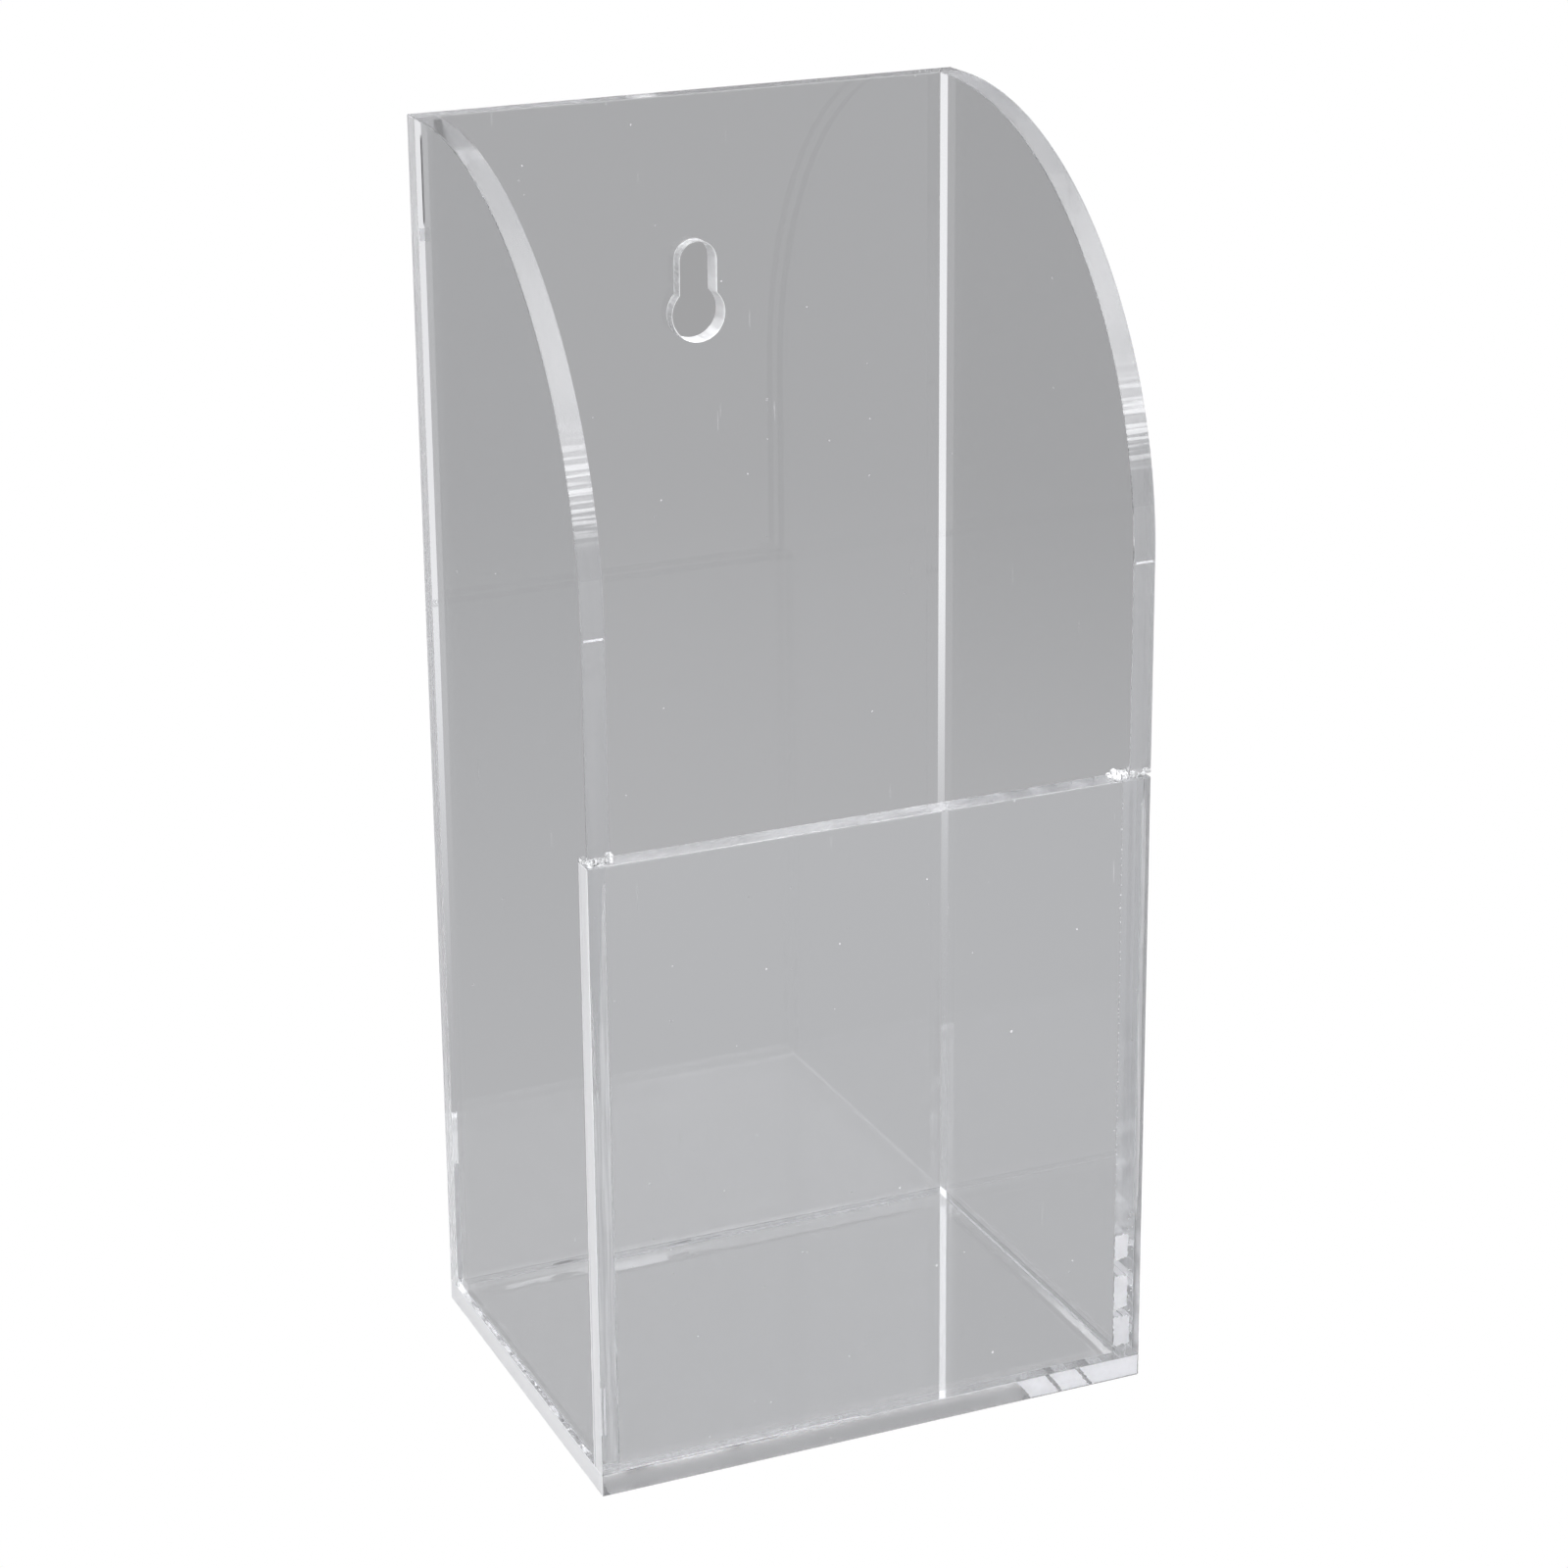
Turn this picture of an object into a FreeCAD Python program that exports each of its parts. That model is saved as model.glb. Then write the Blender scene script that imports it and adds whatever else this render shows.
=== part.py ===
import FreeCAD, Part
import math
import os

# A wall-hung holder box of clear acrylic sheet: a base, a tall back with a keyhole, two side
# panels swept down at the front in a quarter circle, and a low front let into steps in the sides.
# Millimetres. +X to the right, +Y towards the wall, +Z up. The origin is on the underside, at the
# centre of the footprint.

# Driving dimensions
sheet = 3.0                 # thickness of every panel
width = 75.0                # outside, left to right
depth = 57.0                # outside, front to wall
tall_panel = 160.0          # height of the back and side panels, above the base
low_panel = 80.0            # height of the front panel, above the base
sweep_radius = 52.0         # quarter circle at the top front of each side panel
edge_break = 0.15           # arrises eased after cutting

# Keyhole in the back panel
head_hole_diameter = 7.2    # lets the screw head through
shank_slot_width = 5.0      # the screw's shank runs up this
head_hole_height = 134.3    # its centre above the underside of the base
hang_travel = 7.0           # from the head hole's centre up to the centre of the slot's end

# Cement in the step over each end of the front panel
bond_gap = 0.5              # the step is cut this much taller than the front panel
left_squeeze_out = 0.6      # how far the cement runs inwards, past the side panel
right_squeeze_out = 2.0

# Cutting
cutter_overrun = 3.0        # the keyhole's cutter starts and ends this far outside the back panel

# Derived places
half_width = width / 2.0
front_y = -depth / 2.0
back_y = depth / 2.0
side_back_y = back_y - sheet
step_y = front_y + sheet
base_top = sheet
top_z = base_top + tall_panel
front_top = base_top + low_panel
step_z = front_top + bond_gap
sweep_foot_z = top_z - sweep_radius
sweep_head_y = front_y + sweep_radius

X_AXIS = FreeCAD.Vector(1, 0, 0)
Y_AXIS = FreeCAD.Vector(0, 1, 0)


def box(low, high):
    """A block from its lowest corner to its highest."""
    size = [h - l for l, h in zip(low, high)]
    return Part.makeBox(size[0], size[1], size[2], FreeCAD.Vector(*low))


def eased(solid):
    """The solid with every straight arris between flat faces eased by a small chamfer."""
    straight = []
    for edge in solid.Edges:
        if isinstance(edge.Curve, Part.Line):
            straight.append(edge)
    return solid.makeChamfer(edge_break, straight)


def base_panel():
    """Full footprint, under all the other panels."""
    low = (-half_width, front_y, 0.0)
    high = (half_width, back_y, base_top)
    return eased(box(low, high))


def front_panel():
    """Full width, low, let into the steps of the side panels."""
    low = (-half_width, front_y, base_top)
    high = (half_width, step_y, front_top)
    return eased(box(low, high))


def keyhole():
    """The cutter for the keyhole: a round for the screw head and a slot for its shank."""
    start_y = side_back_y - cutter_overrun
    cut_length = sheet + 2.0 * cutter_overrun
    head_centre = FreeCAD.Vector(0, start_y, head_hole_height)
    slot_end_centre = FreeCAD.Vector(0, start_y, head_hole_height + hang_travel)
    head = Part.makeCylinder(head_hole_diameter / 2.0, cut_length, head_centre, Y_AXIS)
    slot_end = Part.makeCylinder(shank_slot_width / 2.0, cut_length, slot_end_centre, Y_AXIS)
    low = (-shank_slot_width / 2.0, start_y, head_hole_height)
    high = (shank_slot_width / 2.0, start_y + cut_length, head_hole_height + hang_travel)
    return head.fuse([slot_end, box(low, high)]).removeSplitter()


def back_panel():
    """Full width and height, against the wall, with the keyhole."""
    low = (-half_width, side_back_y, base_top)
    high = (half_width, back_y, top_z)
    return eased(box(low, high)).cut(keyhole())


def side_outline(x):
    """The side panel's closed outline in the plane at x, step and quarter circle included."""
    corners = {
        "sole_front": FreeCAD.Vector(x, step_y, base_top),
        "step_inner": FreeCAD.Vector(x, step_y, step_z),
        "step_outer": FreeCAD.Vector(x, front_y, step_z),
        "sweep_foot": FreeCAD.Vector(x, front_y, sweep_foot_z),
        "sweep_head": FreeCAD.Vector(x, sweep_head_y, top_z),
        "top_back": FreeCAD.Vector(x, side_back_y, top_z),
        "sole_back": FreeCAD.Vector(x, side_back_y, base_top),
    }
    lift = sweep_radius * math.sin(math.pi / 4.0)
    sweep_middle = FreeCAD.Vector(x, sweep_head_y - lift, sweep_foot_z + lift)
    sweep = Part.Arc(corners["sweep_foot"], sweep_middle, corners["sweep_head"])
    runs = [
        ("sole_front", "step_inner"),
        ("step_inner", "step_outer"),
        ("step_outer", "sweep_foot"),
        ("sweep_head", "top_back"),
        ("top_back", "sole_back"),
        ("sole_back", "sole_front"),
    ]
    edges = [Part.makeLine(corners[start], corners[end]) for start, end in runs]
    edges.append(sweep.toShape())
    return Part.Wire(Part.__sortEdges__(edges))


def side_panel(outer_x, inward):
    """One side panel, from its outer face one sheet thickness inwards."""
    plate = Part.Face(side_outline(outer_x)).extrude(X_AXIS * sheet * inward)
    rim = []
    for edge in plate.Edges:
        flat_in_x = edge.BoundBox.XLength < edge_break
        if flat_in_x:
            rim.append(edge)
    return plate.makeChamfer(edge_break, rim)


def cement_bead(outer_x, inward, squeeze_out):
    """Hardened cement that fills the step over the front panel and runs a little way inwards."""
    wall_x = outer_x + inward * sheet
    toe_x = wall_x + inward * squeeze_out
    start_x = outer_x + inward * edge_break
    section = [
        (start_x, front_top),
        (toe_x, front_top),
        (wall_x, step_z),
        (start_x, step_z),
        (start_x, front_top),
    ]
    bead_front = front_y + edge_break
    points = [FreeCAD.Vector(x, bead_front, z) for x, z in section]
    bead_length = sheet - 2.0 * edge_break
    return Part.Face(Part.makePolygon(points)).extrude(Y_AXIS * bead_length)


def build():
    """Every piece by its node's name."""
    left = (-half_width, 1.0)
    right = (half_width, -1.0)
    return {
        "base_panel": base_panel(),
        "back_panel": back_panel(),
        "front_panel": front_panel(),
        "left_side_panel": side_panel(*left),
        "right_side_panel": side_panel(*right),
        "left_cement_bead": cement_bead(*left, left_squeeze_out),
        "right_cement_bead": cement_bead(*right, right_squeeze_out),
    }


os.makedirs("parts", exist_ok=True)
for node, shape in build().items():
    solids = shape.Solids
    if len(solids) != 1 or not shape.isValid():
        raise RuntimeError(node + " is not one valid solid")
    solids[0].exportStep(os.path.join("parts", node + ".step"))
    extent = shape.BoundBox
    print(node, "volume", round(shape.Volume, 1), "top", round(extent.ZMax, 3))
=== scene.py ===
import math
import random

import bmesh
import bpy
from mathutils import Matrix, Vector, noise


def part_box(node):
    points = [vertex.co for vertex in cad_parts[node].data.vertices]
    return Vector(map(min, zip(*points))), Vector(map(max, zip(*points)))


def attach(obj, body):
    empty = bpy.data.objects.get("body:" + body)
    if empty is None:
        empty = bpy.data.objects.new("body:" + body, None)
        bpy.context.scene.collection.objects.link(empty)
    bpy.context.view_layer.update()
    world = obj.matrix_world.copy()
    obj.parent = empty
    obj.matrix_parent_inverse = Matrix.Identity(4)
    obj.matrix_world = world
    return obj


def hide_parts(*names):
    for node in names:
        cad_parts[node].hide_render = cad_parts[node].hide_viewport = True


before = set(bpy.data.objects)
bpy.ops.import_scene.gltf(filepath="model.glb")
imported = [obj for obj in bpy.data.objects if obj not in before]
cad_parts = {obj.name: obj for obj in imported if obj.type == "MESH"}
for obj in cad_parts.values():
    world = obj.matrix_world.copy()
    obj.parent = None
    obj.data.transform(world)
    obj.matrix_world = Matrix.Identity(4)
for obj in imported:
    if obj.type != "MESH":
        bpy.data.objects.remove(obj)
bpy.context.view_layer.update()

# A wall-hung holder box of clear acrylic sheet, in metres, in the frame of the CAD model:
# +X to the right, +Y towards the wall, +Z up, the origin on the underside.

MM = 0.001

# The cut shapes that a node's box doesn't tell
SWEEP_RADIUS = 52.0 * MM
HEAD_HOLE_RADIUS = 3.6 * MM
SLOT_RADIUS = 2.5 * MM
HEAD_HOLE_HEIGHT = 134.3 * MM
HANG_TRAVEL = 7.0 * MM

# Workmanship
ARRIS = 0.15 * MM               # how far the cut arrises are eased
BOND = 0.02 * MM                # cemented sheets run this far into each other, so that light goes through
DRY_GAP = 0.02 * MM             # air behind the side panels, where the cement never wetted the joint
JOINT_ZONE = 0.05 * MM          # a face or an arris this near a joint is in it
FLAKE_THICKNESS = 0.012 * MM    # of the marks inside the joints

# How finely the round and ragged outlines are drawn
SWEEP_STEPS = 72
HOLE_STEPS = 40
SLOT_STEPS = 28
FLAKE_STEPS = 44
SMEAR_STEPS = 10

IOR = 1.49
ACRYLIC_TINT = (0.985, 0.99, 0.995, 1.0)


def corners(node):
    """The lowest and the highest corner of a CAD node's box."""
    low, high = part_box(node)
    return Vector(low), Vector(high)


# Places taken from the CAD nodes
base_low, base_high = corners("base_panel")
back_low, back_high = corners("back_panel")
front_low, front_high = corners("front_panel")
left_low, left_high = corners("left_side_panel")
right_low, right_high = corners("right_side_panel")
left_bead = corners("left_cement_bead")
right_bead = corners("right_cement_bead")

sheet = base_high.z - base_low.z
step_z = left_bead[1].z
sweep_head_y = left_low.y + SWEEP_RADIUS
sweep_foot_z = left_high.z - SWEEP_RADIUS

# Where the marks lie, each in a single sheet and just clear of its joint
front_film_y = front_high.y - BOND - FLAKE_THICKNESS
base_film_z = base_high.z - BOND - FLAKE_THICKNESS
sole_film_z = base_high.z + FLAKE_THICKNESS
heel_film_y = back_low.y - DRY_GAP - BOND - FLAKE_THICKNESS


# ---------------------------------------------------------------- node helpers

class Nodes:
    """A short way to write a node tree."""

    def __init__(self, tree):
        self.tree = tree
        self.tree.nodes.clear()

    def add(self, kind, settings=None, **inputs):
        node = self.tree.nodes.new(kind)
        for key, value in (settings or {}).items():
            setattr(node, key, value)
        for key, value in inputs.items():
            self.feed(node.inputs[key.replace("_", " ")], value)
        return node

    def feed(self, socket, value):
        if isinstance(value, bpy.types.NodeSocket):
            self.tree.links.new(value, socket)
        else:
            socket.default_value = value

    def show(self, shader, output="ShaderNodeOutputMaterial"):
        """Sends a shader to the tree's output."""
        self.feed(self.add(output).inputs["Surface"], shader.outputs[0])

    def math(self, operation, first, second):
        node = self.add("ShaderNodeMath", {"operation": operation})
        self.feed(node.inputs[0], first)
        self.feed(node.inputs[1], second)
        return node.outputs[0]

    def plus(self, first, second):
        return self.math("ADD", first, second)

    def minus(self, first, second):
        return self.math("SUBTRACT", first, second)

    def times(self, first, second):
        return self.math("MULTIPLY", first, second)

    def ramp(self, value, low, high, bottom=0.0, top=1.0):
        """Carries value from low...high to bottom...top, and stops at both ends. Low may be the larger."""
        node = self.add("ShaderNodeMapRange", {"interpolation_type": "SMOOTHSTEP"}, Value=value)
        self.feed(node.inputs["From Min"], low)
        self.feed(node.inputs["From Max"], high)
        self.feed(node.inputs["To Min"], bottom)
        self.feed(node.inputs["To Max"], top)
        return node.outputs["Result"]

    def position(self):
        """Object coordinates, in metres."""
        return self.add("ShaderNodeTexCoord").outputs["Object"]

    def stretched(self, scale):
        """Object coordinates times one scale for each axis, in cells to the metre."""
        return self.add("ShaderNodeMapping", Vector=self.position(), Scale=scale).outputs["Vector"]

    def noise(self, scale, detail=2.0):
        vector = self.stretched(scale)
        node = self.add("ShaderNodeTexNoise", Vector=vector, Scale=1.0, Detail=detail, Roughness=0.5)
        return node.outputs[0]

    def bump(self, height, distance):
        """A normal from a height of 0 to 1, where 1 stands for a distance in metres."""
        return self.add("ShaderNodeBump", Height=height, Strength=1.0, Distance=distance).outputs[0]

    def grey(self, value):
        """A faintly cool grey."""
        node = self.add("ShaderNodeCombineColor")
        self.feed(node.inputs[0], value)
        self.feed(node.inputs[1], value)
        self.feed(node.inputs[2], self.times(value, 1.02))
        return node.outputs[0]


def new_material(name):
    material = bpy.data.materials.new(name)
    material.use_nodes = True
    return material, Nodes(material.node_tree)


# ---------------------------------------------------------------- materials

def finish_clear(nodes, rough, normal, clear):
    """Clear acrylic. Where clear is under 1 it is milky."""
    shader = nodes.add("ShaderNodeBsdfPrincipled", IOR=IOR, Roughness=rough, Normal=normal)
    shader.inputs["Base Color"].default_value = ACRYLIC_TINT
    nodes.feed(shader.inputs["Transmission Weight"], clear)
    nodes.show(shader)


def specks(nodes, spacing, size, share):
    """1 on small round specks, spread at random and a cell apart, in a share of the cells."""
    vector = nodes.stretched((1.0 / spacing,) * 3)
    cells = nodes.add("ShaderNodeTexVoronoi", Vector=vector, Scale=1.0, Randomness=1.0)
    dot = nodes.math("LESS_THAN", cells.outputs["Distance"], size / spacing)
    chosen = nodes.add("ShaderNodeSeparateColor", Color=cells.outputs["Color"])
    return nodes.times(dot, nodes.math("LESS_THAN", chosen.outputs[0], share))


def hairlines(nodes, scale, turn, threshold):
    """1 on a few short thin lines that all run one way. A higher threshold leaves fewer."""
    mapping = nodes.add("ShaderNodeMapping", Vector=nodes.position(), Scale=scale, Rotation=turn)
    lines = nodes.add("ShaderNodeTexNoise", Vector=mapping.outputs["Vector"], Scale=1.0, Detail=1.0)
    return nodes.math("GREATER_THAN", lines.outputs[0], threshold)


def polished_acrylic():
    """The sheet's own skin: clear and very slightly wavy, with specks of dust and hairline scratches."""
    material, nodes = new_material("polished_acrylic")
    waviness = nodes.noise((60.0, 60.0, 60.0), detail=1.0)
    coarse_dust = specks(nodes, spacing=8.0 * MM, size=0.18 * MM, share=0.4)
    fine_dust = specks(nodes, spacing=3.0 * MM, size=0.12 * MM, share=0.35)
    dust = nodes.math("MAXIMUM", coarse_dust, fine_dust)
    scratches = hairlines(nodes, scale=(2500.0, 2500.0, 110.0), turn=(0.5, 0.35, 0.0), threshold=0.80)
    dust_milk, scratch_milk = 0.4, 0.15
    milky = nodes.math("MAXIMUM", nodes.times(dust, dust_milk), nodes.times(scratches, scratch_milk))
    milky_roughness = 0.3
    rough = nodes.times(milky, milky_roughness)
    finish_clear(nodes, rough, nodes.bump(waviness, 2e-6), nodes.minus(1.0, milky))
    return material


def straight_edge(name, across, dull, milk):
    """A straight cut edge, streaked along the cut: at most this dull and this milky."""
    material, nodes = new_material(name)
    long_scale, fine_scale = 12.0, 2600.0
    least_share = 0.6
    scale = [long_scale, long_scale, long_scale]
    scale[across] = fine_scale
    streaks = nodes.noise(tuple(scale))
    rough = nodes.ramp(streaks, 0.35, 0.65, dull * least_share, dull)
    clear = nodes.ramp(streaks, 0.3, 0.7, 1.0 - milk * least_share, 1.0 - milk)
    finish_clear(nodes, rough, nodes.bump(streaks, 6e-6), clear)
    return material


def swept_edge(name, clearer=None):
    """The quarter circle's edge: satin, with chatter marks where it turns clear near its foot.

    Angles are in degrees up from the foot. The stretch called clearer is less satin than the rest.
    """
    material, nodes = new_material(name)
    split = nodes.add("ShaderNodeSeparateXYZ", Vector=nodes.position())
    forward = nodes.minus(sweep_head_y, split.outputs[1])
    rise = nodes.minus(split.outputs[2], sweep_foot_z)
    true_angle = nodes.times(nodes.math("ARCTAN2", rise, forward), 180.0 / math.pi)
    wander_degrees = 3.0
    unevenness = nodes.minus(nodes.noise((900.0, 40.0, 40.0)), 0.5)
    angle = nodes.plus(true_angle, nodes.times(unevenness, wander_degrees))

    satin = nodes.ramp(angle, 13.0, 20.0)
    if clearer:
        start, end = clearer
        fade_in, fade_out = 5.0, 8.0
        begun = nodes.ramp(angle, start, start + fade_in)
        not_over = nodes.ramp(angle, end, end - fade_out)
        less_satin = nodes.times(nodes.times(begun, not_over), 0.6)
        satin = nodes.minus(satin, less_satin)
    least_rough, satin_rough = 0.04, 0.2
    rough = nodes.plus(nodes.times(satin, satin_rough), least_rough)
    cloud = nodes.times(satin, nodes.ramp(angle, 55.0, 22.0, 0.03, 0.08))

    chatter = nodes.times(nodes.ramp(angle, 11.0, 16.0), nodes.ramp(angle, 30.0, 19.0))
    ripples = nodes.noise((60.0, 1900.0, 1900.0), detail=1.0)
    faint_ripple, full_ripple = 0.1, 0.9
    ripple_share = nodes.plus(nodes.times(chatter, full_ripple), faint_ripple)
    ridges = nodes.times(nodes.ramp(ripples, 0.45, 0.62), chatter)
    ridge_milk = 0.22
    clear = nodes.minus(1.0, nodes.plus(cloud, nodes.times(ridges, ridge_milk)))
    normal = nodes.bump(nodes.times(ripples, ripple_share), 5e-5)
    finish_clear(nodes, rough, normal, clear)
    return material


def routed_rim():
    """The keyhole's rim: cut with a small cutter that left it frosted, with short marks across."""
    material, nodes = new_material("routed_rim")
    marks = nodes.noise((1500.0, 150.0, 1500.0))
    clear = nodes.ramp(marks, 0.35, 0.7, 0.3, 0.65)
    finish_clear(nodes, 0.45, nodes.bump(marks, 2e-5), clear)
    return material


def hardened_cement():
    """Solvent cement that ran out and set: milky, full of fine bubbles, glossy on its skin."""
    material, nodes = new_material("hardened_cement")
    bubbles = nodes.noise((3500.0, 3500.0, 3500.0), detail=3.0)
    clear = nodes.ramp(bubbles, 0.45, 0.62, 0.0, 0.9)
    finish_clear(nodes, 0.15, nodes.bump(bubbles, 8e-5), clear)
    return material


def dried_film():
    """A thin coat of cement that dried cloudy, with fine streaks down it."""
    material, nodes = new_material("dried_film")
    streaks = nodes.noise((2200.0, 2200.0, 60.0))
    clear = nodes.ramp(streaks, 0.3, 0.7, 0.3, 0.6)
    finish_clear(nodes, 0.25, nodes.bump(streaks, 1e-5), clear)
    return material


def air_film_and_painted_reflection():
    """A film of air and dried cement that never wetted the joint, white through the sheet: partly the
    cement's own cloudiness, partly a painted reflection of light off the air film.
    """
    material, nodes = new_material("air_film_and_painted_reflection")
    patches = nodes.noise((1400.0, 1400.0, 1400.0))
    rough = nodes.ramp(patches, 0.3, 0.7, 0.3, 0.6)
    # The near white tone is partly a painted reflection off the air film.
    tone = nodes.ramp(patches, 0.25, 0.6, 0.95, 1.0)
    shader = nodes.add("ShaderNodeBsdfPrincipled", IOR=IOR, Roughness=rough)
    nodes.feed(shader.inputs["Base Color"], nodes.grey(tone))
    nodes.show(shader)
    return material


def painted_gap_shade():
    """Painted shade for a joint that stands slightly open: a near black colour in place of the shadow in
    it.
    """
    material, nodes = new_material("painted_gap_shade")
    patches = nodes.noise((900.0, 900.0, 300.0))
    rough = nodes.ramp(patches, 0.3, 0.7, 0.6, 0.8)
    # The dark tone is painted shade, not dirt.
    tone = nodes.ramp(patches, 0.3, 0.7, 0.02, 0.09)
    shader = nodes.add("ShaderNodeBsdfPrincipled", Roughness=rough)
    nodes.feed(shader.inputs["Base Color"], nodes.grey(tone))
    nodes.show(shader)
    return material


# ---------------------------------------------------------------- panels

AXES = {"x": 0, "y": 1, "z": 2}

# The finishes of a panel's faces, in the order of its materials
POLISHED, MILLED, LEFT_END, RIGHT_END, ROUTED = range(5)


def place(axis, u, v, w):
    """The point at u, v in a sheet's own plane and w through its thickness."""
    spots = {"x": (w, u, v), "y": (u, w, v), "z": (u, v, w)}
    return Vector(spots[axis])


def in_joint(point, axis):
    """True where a sheet meets a neighbour that it is cemented to."""
    if axis != "z" and abs(point.z - base_high.z) < JOINT_ZONE:
        return True
    if axis != "x":
        return False
    on_front = abs(point.y - front_high.y) < JOINT_ZONE and point.z < step_z + JOINT_ZONE
    return on_front or abs(point.y - back_low.y) < JOINT_ZONE


def on_sweep(point):
    """True on the edge of a side panel's quarter circle."""
    forward = sweep_head_y - point.y
    rise = point.z - sweep_foot_z
    return forward > 0.0 and rise > 0.0 and math.hypot(forward, rise) > SWEEP_RADIUS - ARRIS


def in_keyhole(point):
    """True on the rim of the keyhole in the back panel."""
    reach = 1.5 * HEAD_HOLE_RADIUS
    low = HEAD_HOLE_HEIGHT - reach
    high = HEAD_HOLE_HEIGHT + HANG_TRAVEL + reach
    return point.y > front_high.y and abs(point.x) < reach and low < point.z < high


def finish_of(face, axis):
    """Which finish a face has: the sheet's own skin, or how its edge was cut."""
    middle = face.calc_center_median()
    if abs(face.normal[AXES[axis]]) > 0.99 or in_joint(middle, axis):
        return POLISHED
    if axis == "x":
        return ROUTED if on_sweep(middle) else MILLED
    if axis == "y" and in_keyhole(middle):
        return ROUTED
    if abs(face.normal.x) > 0.9:
        return LEFT_END if face.normal.x < 0.0 else RIGHT_END
    return MILLED


def blank(outlines, axis, low, high):
    """A sheet's mesh with square arrises. Its outlines share the points that they meet at."""
    mesh = bmesh.new()
    for outline in outlines:
        mesh.faces.new([mesh.verts.new(place(axis, u, v, low)) for u, v in outline])
    bmesh.ops.remove_doubles(mesh, verts=mesh.verts, dist=1e-7)
    near_faces = mesh.faces[:]
    rim = [edge for edge in mesh.edges if edge.is_boundary]
    through = place(axis, 0.0, 0.0, high - low)
    twins = {vert: mesh.verts.new(vert.co + through) for vert in mesh.verts[:]}
    for face in near_faces:
        mesh.faces.new([twins[vert] for vert in reversed(face.verts)])
    for edge in rim:
        start, end = edge.verts
        mesh.faces.new((start, end, twins[end], twins[start]))
    bmesh.ops.recalc_face_normals(mesh, faces=mesh.faces)
    return mesh


def ease_arrises(mesh, axis):
    """Rounds every arris that isn't in a joint."""
    sharp = math.radians(30.0)
    arrises = []
    for edge in mesh.edges:
        is_sharp = edge.calc_face_angle(0.0) > sharp
        if is_sharp and not all(in_joint(vert.co, axis) for vert in edge.verts):
            arrises.append(edge)
    bmesh.ops.bevel(mesh, geom=arrises, offset=ARRIS, segments=2, profile=0.5, affect="EDGES")


def plate(name, outlines, axis, low, high, left_end, routed):
    """A sheet between two places on an axis, with a finish for each kind of face."""
    mesh = blank(outlines, axis, low, high)
    ease_arrises(mesh, axis)
    for face in mesh.faces:
        face.material_index = finish_of(face, axis)
        face.smooth = True
    data = bpy.data.meshes.new(name)
    mesh.to_mesh(data)
    mesh.free()
    data.set_sharp_from_angle(angle=math.radians(12.0))
    for material in (skin, milled_edges[axis], left_end, frosted_ends[axis], routed):
        data.materials.append(material)
    piece = bpy.data.objects.new(name, data)
    bpy.context.scene.collection.objects.link(piece)
    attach(piece, "root")
    return piece


def rectangle(u_low, u_high, v_low, v_high):
    return [(u_low, v_low), (u_high, v_low), (u_high, v_high), (u_low, v_high)]


def arc(centre, radius, start, end, steps):
    """Points on a circle from one angle to another, in degrees, both ends included."""
    points = []
    for step in range(steps + 1):
        angle = math.radians(start + (end - start) * step / steps)
        points.append((centre[0] + radius * math.cos(angle), centre[1] + radius * math.sin(angle)))
    return points


def side_outline():
    """In Y and Z: stepped behind the front panel, and swept down to the front at the top."""
    sole = base_high.z - BOND
    heel = back_low.y - DRY_GAP
    riser = front_high.y - BOND
    front = left_low.y
    top = left_high.z
    sweep = arc((sweep_head_y, sweep_foot_z), SWEEP_RADIUS, 90.0, 180.0, SWEEP_STEPS)
    return [(riser, sole), (heel, sole), (heel, top)] + sweep + [(front, step_z), (riser, step_z)]


def half_keyhole(side):
    """In X and Z: one side of the keyhole's rim, from its foot to its top."""
    lip = math.degrees(math.acos(SLOT_RADIUS / HEAD_HOLE_RADIUS))
    head = arc((0.0, HEAD_HOLE_HEIGHT), HEAD_HOLE_RADIUS, -90.0, lip, HOLE_STEPS)
    slot_end = arc((0.0, HEAD_HOLE_HEIGHT + HANG_TRAVEL), SLOT_RADIUS, 0.0, 90.0, SLOT_STEPS)
    return [(side * u, v) for u, v in head + slot_end]


def back_half(side):
    """In X and Z: one half of the back panel, split down the middle through the keyhole."""
    bottom = back_low.z - BOND
    edge = side * back_high.x
    outer = [(0.0, back_high.z), (edge, back_high.z), (edge, bottom), (0.0, bottom)]
    return half_keyhole(side) + outer


def build_panels():
    sides = side_outline()
    halves = [back_half(1.0), back_half(-1.0)]
    floor_plan = rectangle(base_low.x, base_high.x, base_low.y, base_high.y)
    front_plan = rectangle(front_low.x, front_high.x, base_high.z - BOND, front_high.z)
    base = plate("base", [floor_plan], "z", base_low.z, base_high.z, base_end, skin)
    back = plate("back", halves, "y", back_low.y, back_high.y, back_end, keyhole_rim)
    front = plate("front", [front_plan], "y", front_low.y, front_high.y, front_end, skin)
    left = plate("left_side", [sides], "x", left_low.x, left_high.x, skin, left_sweep)
    right = plate("right_side", [sides], "x", right_low.x, right_high.x, skin, right_sweep)
    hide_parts("base_panel")
    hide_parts("back_panel")
    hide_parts("front_panel")
    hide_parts("left_side_panel")
    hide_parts("right_side_panel")


# ---------------------------------------------------------------- marks in the joints

def finished(name, mesh, material):
    """Makes a piece of the object from a mesh that is all one material."""
    data = bpy.data.meshes.new(name)
    mesh.to_mesh(data)
    mesh.free()
    data.materials.append(material)
    piece = bpy.data.objects.new(name, data)
    bpy.context.scene.collection.objects.link(piece)
    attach(piece, "root")
    return piece


def finished_marks(name, mesh, material):
    """The same for marks, with their faces turned outwards first."""
    bmesh.ops.recalc_face_normals(mesh, faces=mesh.faces)
    finished(name, mesh, material)


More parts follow.
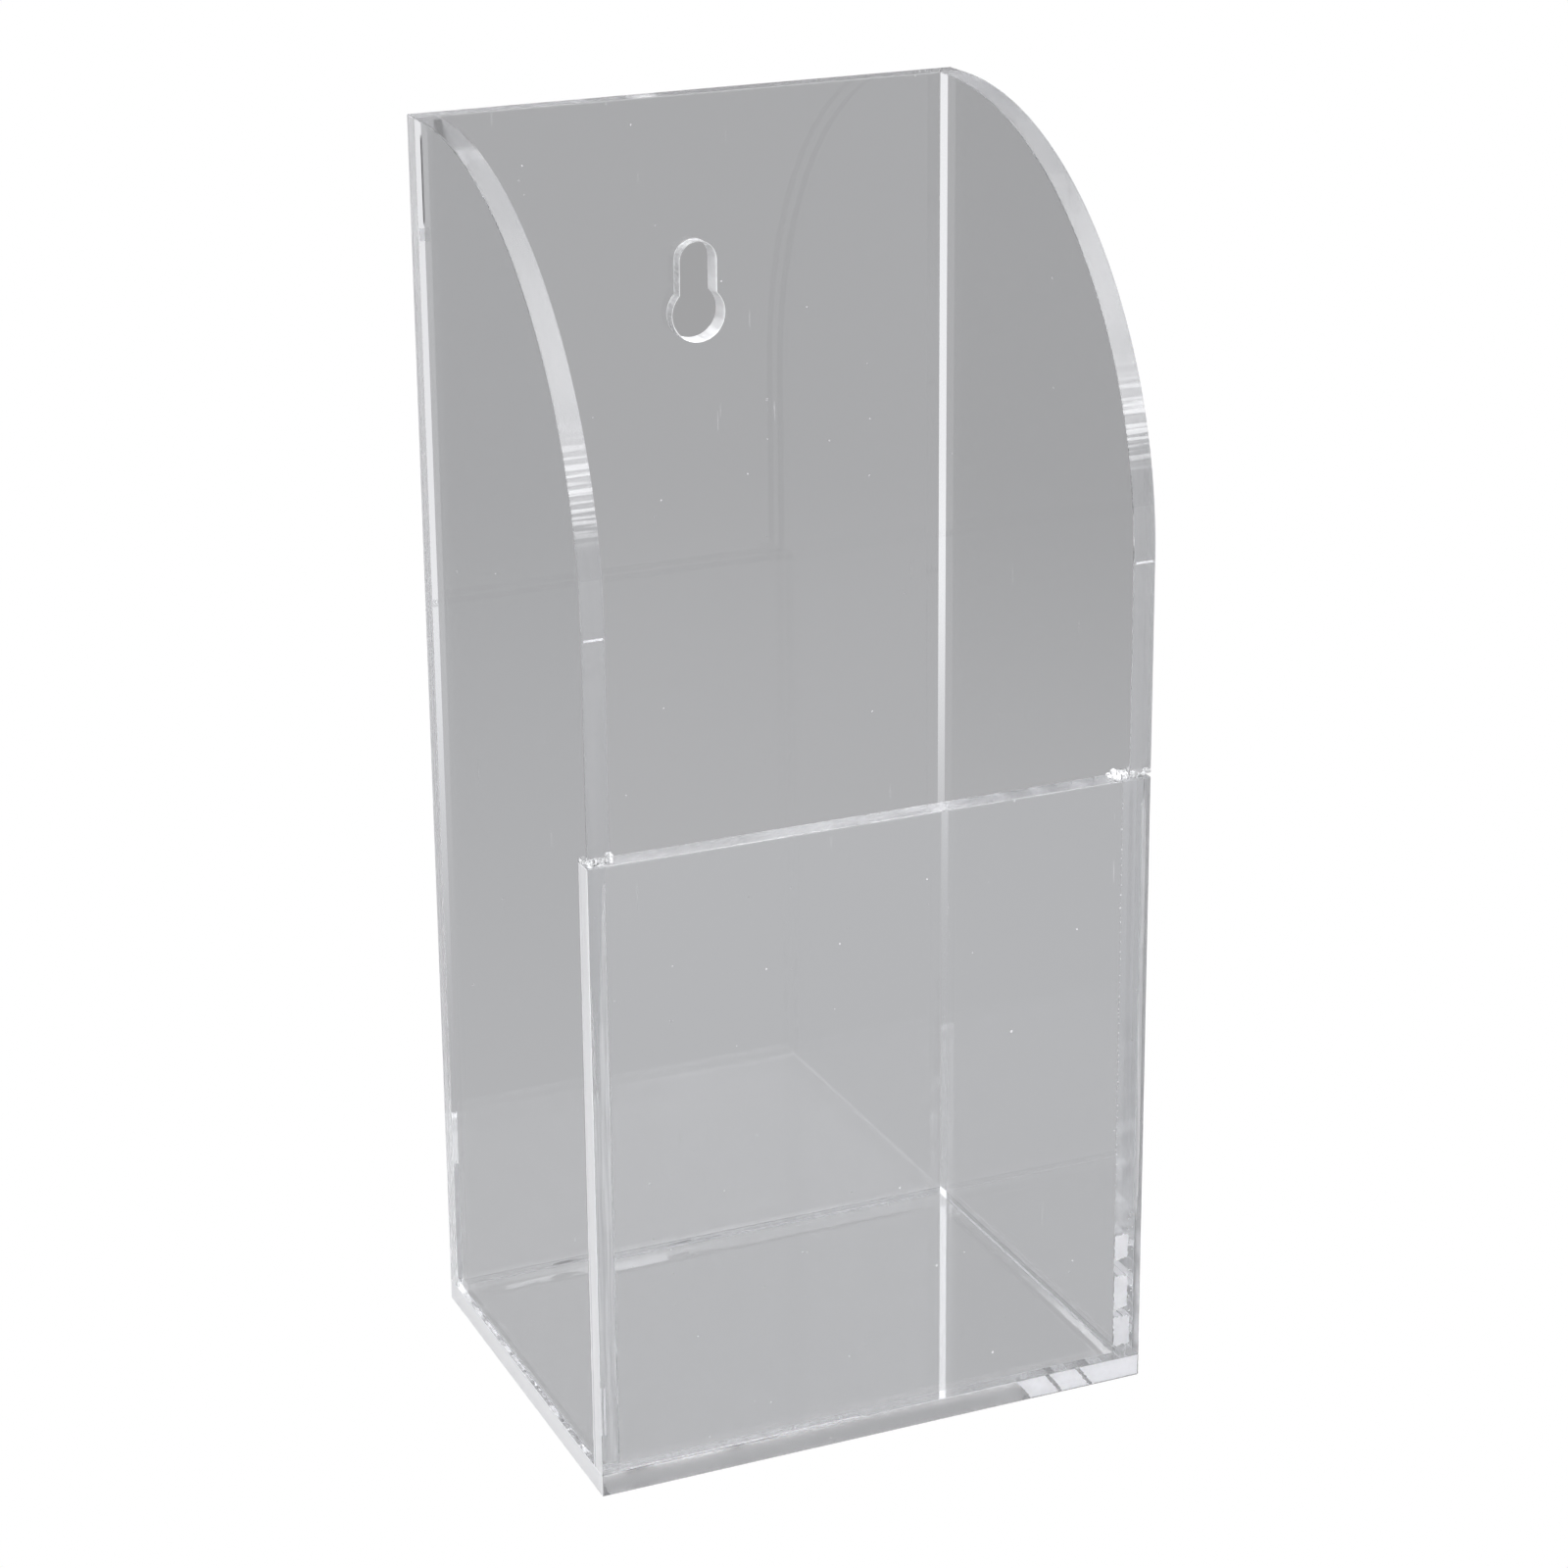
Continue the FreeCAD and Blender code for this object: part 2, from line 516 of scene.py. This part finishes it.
def slab(mesh, near, far):
    """A thin closed slab between two outlines that match point by point."""
    near = [mesh.verts.new(spot) for spot in near]
    far = [mesh.verts.new(spot) for spot in far]
    mesh.faces.new(list(reversed(near)))
    mesh.faces.new(far)
    for step in range(len(near)):
        after = (step + 1) % len(near)
        mesh.faces.new((near[step], near[after], far[after], far[step]))


def flake(mesh, axis, level, u_range, v_range, draw):
    """A thin ragged patch, flat in the plane at level on an axis."""
    u_low, u_high = u_range
    v_low, v_high = v_range
    u_middle, u_half = (u_low + u_high) / 2.0, (u_high - u_low) / 2.0
    v_middle, v_half = (v_low + v_high) / 2.0, (v_high - v_low) / 2.0
    outline = []
    for step in range(FLAKE_STEPS):
        angle = 2.0 * math.pi * step / FLAKE_STEPS
        squareness = max(abs(math.cos(angle)), abs(math.sin(angle)))
        reach = draw.uniform(0.86, 1.0) / squareness
        u = u_middle + u_half * min(1.0, max(-1.0, reach * math.cos(angle)))
        v = v_middle + v_half * min(1.0, max(-1.0, reach * math.sin(angle)))
        outline.append((u, v))
    half = FLAKE_THICKNESS / 2.0
    near = [place(axis, u, v, level - half) for u, v in outline]
    far = [place(axis, u, v, level + half) for u, v in outline]
    slab(mesh, near, far)


def smear(mesh, x_range, draw):
    """Dried cement just under the skin of the base's front edge, its ends slanting and ragged."""
    foot, head = base_low.z + ARRIS, base_high.z - ARRIS
    slant = 2.0 * MM
    ragged = 0.1 * MM
    outline = []
    for x, z_start, z_end in ((x_range[1], foot, head), (x_range[0], head, foot)):
        for step in range(SMEAR_STEPS + 1):
            z = z_start + (z_end - z_start) * step / SMEAR_STEPS
            lean = slant * (head - z) / (head - foot)
            spot = x + lean + draw.uniform(-1.0, 1.0) * ragged
            outline.append((min(spot, base_high.x - ARRIS), z))
    near_y = base_low.y + ARRIS
    near = [(x, near_y, z) for x, z in outline]
    far = [(x, near_y + FLAKE_THICKNESS, z) for x, z in outline]
    slab(mesh, near, far)


def bubble(mesh, spot, radius):
    """A small round bubble."""
    made = bmesh.ops.create_icosphere(mesh, subdivisions=2, radius=radius)
    bmesh.ops.translate(mesh, verts=made["verts"], vec=spot)


def nick(mesh, low, high, draw):
    """The white nick across a side panel's edge, at the foot of its quarter circle."""
    inset = 0.2 * MM
    half_height = 0.15 * MM
    across = (low.x + inset, high.x - inset)
    up = (sweep_foot_z - half_height, sweep_foot_z + half_height)
    flake(mesh, "y", low.y + 2.0 * FLAKE_THICKNESS, across, up, draw)


def build_right_joint_air(white, draw):
    """White patches low in the front right joint, bubbles above and beside them, and the nick."""
    mesh = bmesh.new()
    wall = right_low.x
    patches_mm = ((3.7, 8.2, 2.5), (9.0, 14.0, 2.1), (16.2, 19.9, 2.1))
    for foot, head, width in patches_mm:
        across = (wall + 0.05 * MM, wall + width * MM)
        flake(mesh, "y", front_film_y, across, (foot * MM, head * MM), draw)
    nick(mesh, right_low, right_high, draw)

    string_foot_mm, string_head_mm = 27.0, 79.5
    height_mm = string_foot_mm
    while height_mm < string_head_mm:
        radius = draw.uniform(0.05, 0.11) * MM
        x = wall + draw.uniform(-0.05, 0.1) * MM
        bubble(mesh, Vector((x, front_film_y - radius, height_mm * MM)), radius)
        height_mm += draw.uniform(0.5, 1.4)

    scattered = 26
    for _ in range(scattered):
        radius = draw.uniform(0.04, 0.10) * MM
        x = wall + draw.uniform(2.0, 2.7) * MM
        z = draw.uniform(4.0, 23.0) * MM
        bubble(mesh, Vector((x, front_film_y - radius, z)), radius)
    finished_marks("right_joint_air", mesh, white)


def build_base_joint_air(white, draw):
    """Smears on the base's front edge, and white lines and flakes where the panels stand on the base."""
    mesh = bmesh.new()
    smears_mm = ((19.8, 23.9), (24.4, 28.2), (28.8, 37.3))
    for start, end in smears_mm:
        smear(mesh, (start * MM, end * MM), draw)

    film = 0.9 * MM
    right_film = 1.1 * MM
    front_film = 0.6 * MM
    along_sides = (front_high.y + film, back_low.y - film)
    under_right = (right_low.x + BOND, right_low.x + right_film)
    under_left = (left_high.x - film, left_high.x - BOND)
    under_back = (back_low.y + BOND, back_low.y + film)
    under_front = (front_low.y + BOND, front_low.y + front_film)
    left_of_middle = (left_low.x + 1.0 * MM, -1.0 * MM)
    flake(mesh, "z", sole_film_z, under_right, along_sides, draw)
    flake(mesh, "z", sole_film_z, under_left, along_sides, draw)
    flake(mesh, "z", sole_film_z, (left_high.x, right_low.x), under_back, draw)
    flake(mesh, "z", sole_film_z, left_of_middle, under_front, draw)

    loose_flakes = 9
    for _ in range(loose_flakes):
        start = draw.uniform(-26.0, -2.0) * MM
        near = back_low.y + draw.uniform(0.3, 1.4) * MM
        far = near + draw.uniform(0.5, 1.2) * MM
        end = start + draw.uniform(1.5, 4.0) * MM
        flake(mesh, "z", base_film_z, (start, end), (near, far), draw)
    finished_marks("base_joint_air", mesh, white)


def build_left_joint_air(white, draw):
    """The crack low in the front left joint, the nick, and air high and low in the back left joint."""
    mesh = bmesh.new()
    crack_x = left_low.x + 1.2 * MM
    crack_y = front_film_y - 5.0 * FLAKE_THICKNESS
    crack_half = 0.14 * MM
    flake(mesh, "y", crack_y, (crack_x - crack_half, crack_x + crack_half), (7.2 * MM, 14.2 * MM), draw)
    nick(mesh, left_low, left_high, draw)
    across = (left_low.x + 0.2 * MM, left_high.x - 0.05 * MM)
    flake(mesh, "y", heel_film_y, across, (147.4 * MM, 149.1 * MM), draw)
    flake(mesh, "y", heel_film_y, across, (3.4 * MM, 22.0 * MM), draw)
    finished_marks("left_joint_air", mesh, white)


def build_left_joint_painted_shade(gap_shade, draw):
    """A dark line high in the back left joint, above the air: painted shade, a dark sheet where the open
    joint lies in shadow.
    """
    mesh = bmesh.new()
    across = (left_high.x - 0.5 * MM, left_high.x - 0.05 * MM)
    flake(mesh, "y", heel_film_y, across, (149.3 * MM, 161.0 * MM), draw)
    finished_marks("left_joint_painted_shade", mesh, gap_shade)


def build_left_joint_film(cloudy):
    """Cement that dried cloudy behind the front panel's left end, open in a V from its top."""
    inset = 0.12 * MM
    outer, inner = left_low.x + inset, left_high.x - inset
    foot = base_high.z + 0.4 * MM
    fork = 52.0 * MM
    head = 80.0 * MM
    inner_prong = 0.25 * MM
    outer_prong = 0.35 * MM
    outline = [
        (outer, foot),
        (inner, foot),
        (inner, head),
        (inner - inner_prong, head),
        (outer + 1.2 * MM, fork),
        (outer + outer_prong, head),
        (outer, head),
    ]
    far_y = front_high.y - BOND - 2.0 * FLAKE_THICKNESS
    near = [(x, far_y - FLAKE_THICKNESS, z) for x, z in outline]
    far = [(x, far_y, z) for x, z in outline]
    mesh = bmesh.new()
    slab(mesh, near, far)
    finished_marks("left_joint_film", mesh, cloudy)


def build_right_end_film(cloudy, draw):
    """A cloudy streak just under the front face, beside the front panel's right end."""
    mesh = bmesh.new()
    across = (front_high.x - 1.15 * MM, front_high.x - 0.5 * MM)
    flake(mesh, "y", front_low.y + ARRIS, across, (22.0 * MM, 82.0 * MM), draw)
    finished_marks("right_end_film", mesh, cloudy)


def build_marks():
    # White flakes: dried cement, with the air film's reflection painted in as white.
    white = air_film_and_painted_reflection()
    cloudy = dried_film()
    draw = random.Random(7)
    build_right_joint_air(white, draw)
    build_base_joint_air(white, draw)
    build_left_joint_air(white, draw)
    # A dark sheet with painted shade for the open back left joint.
    build_left_joint_painted_shade(painted_gap_shade(), draw)
    build_left_joint_film(cloudy)
    build_right_end_film(cloudy, random.Random(3))


# ---------------------------------------------------------------- cement beads

STEP_LUMPS = 46
RUN_OUT_LUMPS = 14
NOISE_SEED = 1                  # at 0, or never set, the beads' noise would follow the clock


def bead_lumps(box, wall, inward, draw):
    """Overlapping balls that fill the step over the front panel's end and run out past the wall."""
    low, high = box
    across = high.x - low.x
    run_out = abs((low.x if inward < 0.0 else high.x) - wall)
    mesh = bmesh.new()
    for _ in range(STEP_LUMPS):
        x = low.x + across * draw.random()
        y = draw.uniform(low.y + 0.35 * MM, high.y - 0.2 * MM)
        z = draw.uniform(low.z + 0.1 * MM, high.z - 0.1 * MM)
        bubble(mesh, Vector((x, y, z)), draw.uniform(0.25, 0.42) * MM)
    for _ in range(RUN_OUT_LUMPS):
        x = wall + inward * run_out * draw.random()
        y = draw.uniform(low.y + 0.3 * MM, high.y - 0.3 * MM)
        z = high.z + draw.uniform(-0.3, 0.5) * MM
        bubble(mesh, Vector((x, y, z)), draw.uniform(0.2, 0.45) * MM)
    return mesh


def fused(name, mesh):
    """The mesh's lumps as one skin, in millimetres: in metres the voxels would be too small to set."""
    for vert in mesh.verts:
        vert.co /= MM
    source = bpy.data.meshes.new(name)
    mesh.to_mesh(source)
    mesh.free()
    lumps = bpy.data.objects.new(name, source)
    bpy.context.scene.collection.objects.link(lumps)
    fuse = lumps.modifiers.new("fuse", "REMESH")
    fuse.mode = "VOXEL"
    fuse.voxel_size = 0.07
    graph = bpy.context.evaluated_depsgraph_get()
    data = bpy.data.meshes.new_from_object(lumps.evaluated_get(graph))
    bpy.data.objects.remove(lumps)
    skinned = bmesh.new()
    skinned.from_mesh(data)
    return skinned


def build_bead(name, node, box, wall, inward, draw):
    """The cement in the step over one end of the front panel, with the lumps that ran out of it."""
    mesh = fused(name + "_lumps", bead_lumps(box, wall, inward, draw))
    bmesh.ops.smooth_vert(
        mesh,
        verts=mesh.verts,
        factor=0.5,
        use_axis_x=True,
        use_axis_y=True,
        use_axis_z=True,
    )
    cells_to_the_mm = 4.0
    uneven_mm = 0.05
    noise.seed_set(NOISE_SEED)
    for vert in mesh.verts:
        vert.co += noise.noise_vector(vert.co * cells_to_the_mm) * uneven_mm
        vert.co *= MM
        vert.co.x = min(max(vert.co.x, left_low.x), right_high.x)
        vert.co.y = max(vert.co.y, front_low.y)
        vert.co.z = max(vert.co.z, front_high.z - ARRIS)
    for face in mesh.faces:
        face.smooth = True
    piece = finished(name, mesh, cement)
    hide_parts(node)


# ---------------------------------------------------------------- the object

skin = polished_acrylic()
milled_edges = {}
frosted_ends = {}
for axis, across in AXES.items():
    milled_edges[axis] = straight_edge("milled_edge_" + axis, across, dull=0.16, milk=0.02)
    frosted_ends[axis] = straight_edge("frosted_end_" + axis, across, dull=0.6, milk=0.1)
base_end = straight_edge("base_end", AXES["z"], dull=0.5, milk=0.95)
back_end = straight_edge("back_end", AXES["y"], dull=0.4, milk=0.5)
front_end = straight_edge("front_end", AXES["y"], dull=0.45, milk=0.9)
keyhole_rim = routed_rim()
left_sweep = swept_edge("left_swept_edge")
right_sweep = swept_edge("right_swept_edge", clearer=(48.0, 74.0))
cement = hardened_cement()

build_panels()
build_marks()
build_bead("left_cement", "left_cement_bead", left_bead, left_high.x, 1.0, random.Random(11))
build_bead("right_cement", "right_cement_bead", right_bead, right_low.x, -1.0, random.Random(5))


# ---------------------------------------------------------------- studio

FLOOR_RADIUS = 3.0
FLOOR_DROP = 0.2 * MM
MAX_BOUNCES = 96                # light zigzags down a whole sheet from its top edge
WHITE = (1.0, 1.0, 1.0, 1.0)

CAMERA_PLACE = (-0.18434, -0.42150, 0.24792)
CAMERA_AZIMUTH = math.radians(-22.416)
CAMERA_ELEVATION = math.radians(17.322)
CAMERA_ROLL = math.radians(-0.879)


def studio_mix(nodes, graded_grey, shader, output):
    """Plain white when looked at, and softly graded when seen in or through the acrylic."""
    path = nodes.add("ShaderNodeLightPath")
    direct = nodes.add(shader, Color=WHITE)
    graded = nodes.add(shader, Color=graded_grey)
    past_film = nodes.math("GREATER_THAN", path.outputs["Transparent Depth"], 0.5)
    looked_at = nodes.times(path.outputs["Is Camera Ray"], nodes.minus(1.0, past_film))
    mix = nodes.add("ShaderNodeMixShader")
    nodes.feed(mix.inputs[0], looked_at)
    nodes.feed(mix.inputs[1], graded.outputs[0])
    nodes.feed(mix.inputs[2], direct.outputs[0])
    nodes.show(mix, output)


def staged(name, mesh, material):
    """Makes a stage object from a mesh that is all one material."""
    data = bpy.data.meshes.new(name)
    mesh.to_mesh(data)
    mesh.free()
    data.materials.append(material)
    prop = bpy.data.objects.new(name, data)
    bpy.context.scene.collection.objects.link(prop)
    return prop


def build_keyhole_film():
    """Nothing to see by itself: it makes the studio look the same through the hole as beside it."""
    mesh = bmesh.new()
    level = back_low.y + sheet / 2.0
    for side in (1.0, -1.0):
        mesh.faces.new([mesh.verts.new(place("y", u, v, level)) for u, v in half_keyhole(side)])
    material, nodes = new_material("keyhole_film")
    nodes.show(nodes.add("ShaderNodeBsdfTransparent"))
    staged("keyhole_film", mesh, material)


def build_world():
    """High bright walls behind the viewer, and a ceiling brighter overhead and darker to the left."""
    world = bpy.data.worlds.new("studio")
    bpy.context.scene.world = world
    world.use_nodes = True
    nodes = Nodes(world.node_tree)
    coords = nodes.add("ShaderNodeTexCoord")
    split = nodes.add("ShaderNodeSeparateXYZ", Vector=coords.outputs["Generated"])
    rightward, towards_wall, upward = split.outputs
    wall_radiance, overhead_radiance = 2.9, 1.6
    left_radiance, right_radiance = 0.22, 0.37
    high_walls = nodes.ramp(upward, 0.25, 0.36, 0.0, wall_radiance)
    walls = nodes.times(high_walls, nodes.ramp(towards_wall, 0.4, -0.25))
    low_ceiling = nodes.ramp(rightward, -0.25, 0.1, left_radiance, right_radiance)
    ceiling = nodes.ramp(upward, 0.5, 0.9, low_ceiling, overhead_radiance)
    graded = nodes.grey(nodes.math("MAXIMUM", walls, ceiling))
    studio_mix(nodes, graded, "ShaderNodeBackground", "ShaderNodeOutputWorld")


def build_floor():
    """A pale floor that glows, with painted light: darker away from the object and brighter in front of
    it, a painted pool of light.
    """
    mesh = bmesh.new()
    bmesh.ops.create_circle(mesh, cap_ends=True, segments=96, radius=FLOOR_RADIUS)
    material, nodes = new_material("glowing_floor")
    distance = nodes.add("ShaderNodeVectorMath", {"operation": "LENGTH"})
    nodes.feed(distance.inputs[0], nodes.position())
    split = nodes.add("ShaderNodeSeparateXYZ", Vector=nodes.position())
    # Painted light: the glow falls off away from the object and adds a bright pool in front of it.
    near_glow, far_glow, front_glow = 0.47, 0.362, 0.55
    around = nodes.ramp(distance.outputs["Value"], 0.0, 0.45, near_glow, far_glow)
    in_front = nodes.ramp(split.outputs[1], -0.28, -0.04, front_glow, 0.0)
    graded = nodes.grey(nodes.plus(around, in_front))
    studio_mix(nodes, graded, "ShaderNodeEmission", "ShaderNodeOutputMaterial")
    floor = staged("floor", mesh, material)
    floor.location.z = -FLOOR_DROP


def build_softbox():
    light = bpy.data.lights.new("softbox", "AREA")
    light.shape = "RECTANGLE"
    light.size = 1.8
    light.size_y = 1.4
    radiance = 1.4
    light.energy = radiance * math.pi * light.size * light.size_y
    lamp = bpy.data.objects.new("softbox", light)
    lamp.location = Vector((0.2, -0.5, 1.5))
    aim = Vector((0.0, 0.0, 0.08)) - lamp.location
    lamp.rotation_euler = aim.to_track_quat("-Z", "Y").to_euler()
    bpy.context.scene.collection.objects.link(lamp)


def build_camera():
    camera = bpy.data.cameras.new("camera")
    camera.sensor_width = 36.0
    camera.lens = 88.19
    camera.shift_x = 0.0515
    camera.shift_y = -0.1241
    view = bpy.data.objects.new("camera", camera)
    heading = Matrix.Rotation(CAMERA_AZIMUTH, 4, "Z")
    tilt = Matrix.Rotation(math.pi / 2.0 - CAMERA_ELEVATION, 4, "X")
    roll = Matrix.Rotation(CAMERA_ROLL, 4, "Z")
    view.matrix_world = Matrix.Translation(CAMERA_PLACE) @ heading @ tilt @ roll
    bpy.context.scene.collection.objects.link(view)
    bpy.context.scene.camera = view


build_world()
build_floor()
build_keyhole_film()
build_softbox()
build_camera()

cycles = bpy.context.scene.cycles
for bounces in ("max_bounces", "glossy_bounces", "transmission_bounces", "transparent_max_bounces"):
    setattr(cycles, bounces, MAX_BOUNCES)
bpy.context.scene.view_settings.view_transform = "Standard"
